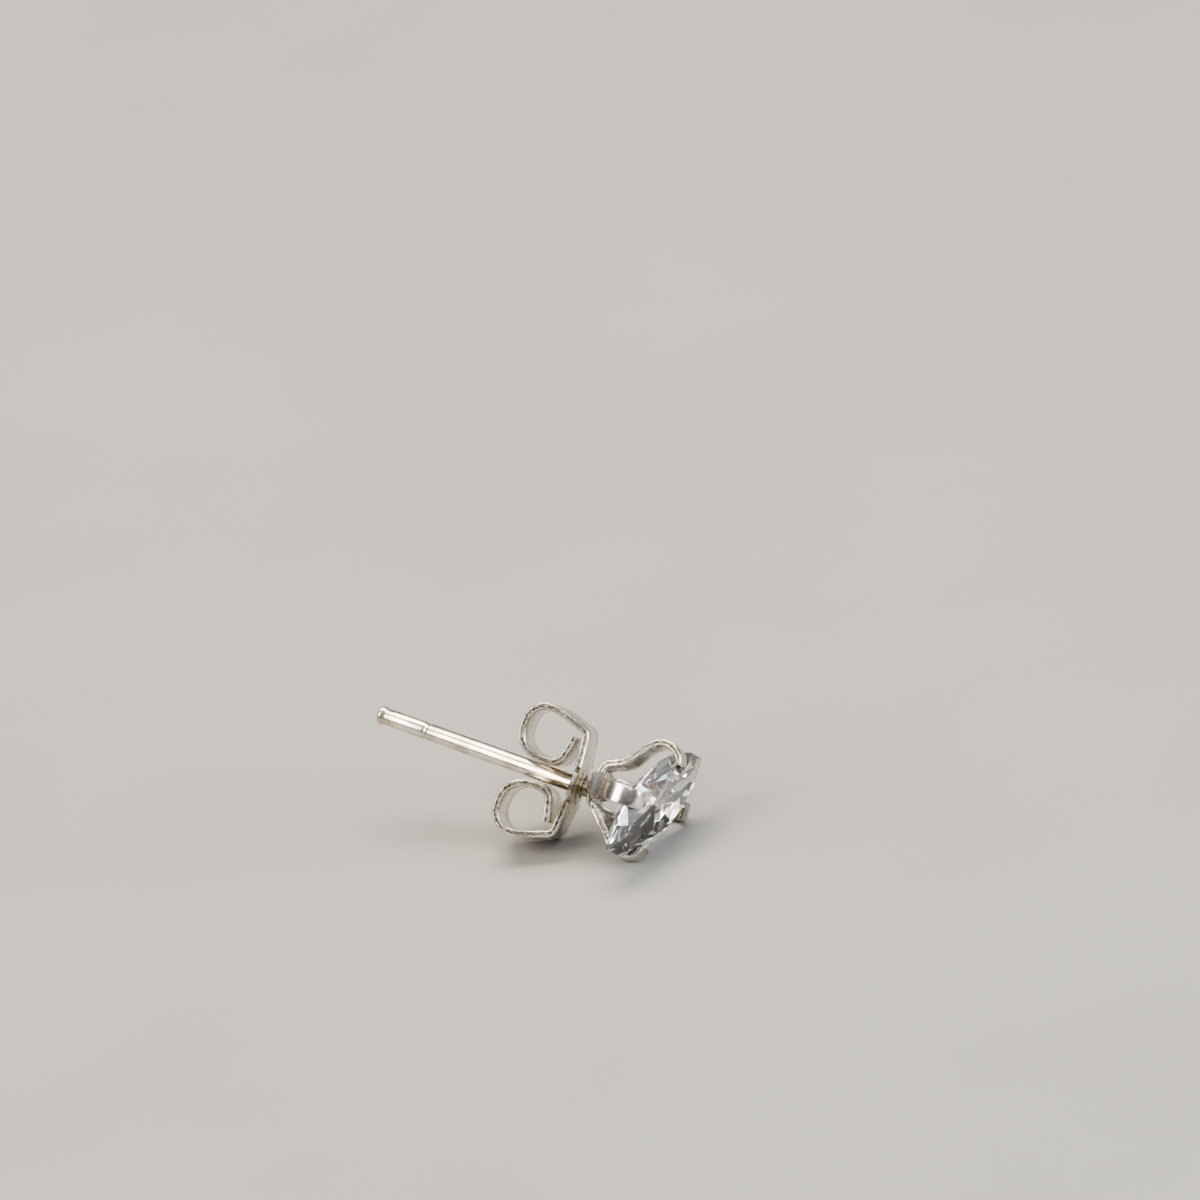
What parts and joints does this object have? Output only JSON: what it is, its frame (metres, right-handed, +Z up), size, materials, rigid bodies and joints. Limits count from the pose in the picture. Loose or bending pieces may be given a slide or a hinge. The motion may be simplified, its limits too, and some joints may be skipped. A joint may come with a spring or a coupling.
{
  "type": "stud earring",
  "caption": "Stud earring: a claw-set marquise-cut clear stone on a straight metal post with a butterfly clutch, lying on its side as when unworn.",
  "frame": {"origin": "centre of the bounding box at the ground, below the lying stud", "axes": "+X runs along the ground in the post's direction, from its tip to the stone; +Z is up; the stud lies on two claws and a scroll of its clutch"},
  "size_m": [0.0156, 0.008, 0.0065],
  "materials": {
    "stone": "polished clear facets",
    "polished_silver": "polished silver with worn, slightly uneven surfaces",
    "stamped_silver": "stamped and rolled silver strip with rough sheared edges"
  },
  "bodies": {
    "stud": {"claw_setting_with_post": "polished_silver", "marquise_stone": "stone"},
    "clutch": {"butterfly_clutch": "stamped_silver"}
  },
  "joints": [
    {"name": "clutch_slide", "type": "slide", "parent": "stud", "child": "clutch", "axis": [-0.9775, 0, 0.211], "range_m": [-0.0005, 0.0092]}
  ]
}
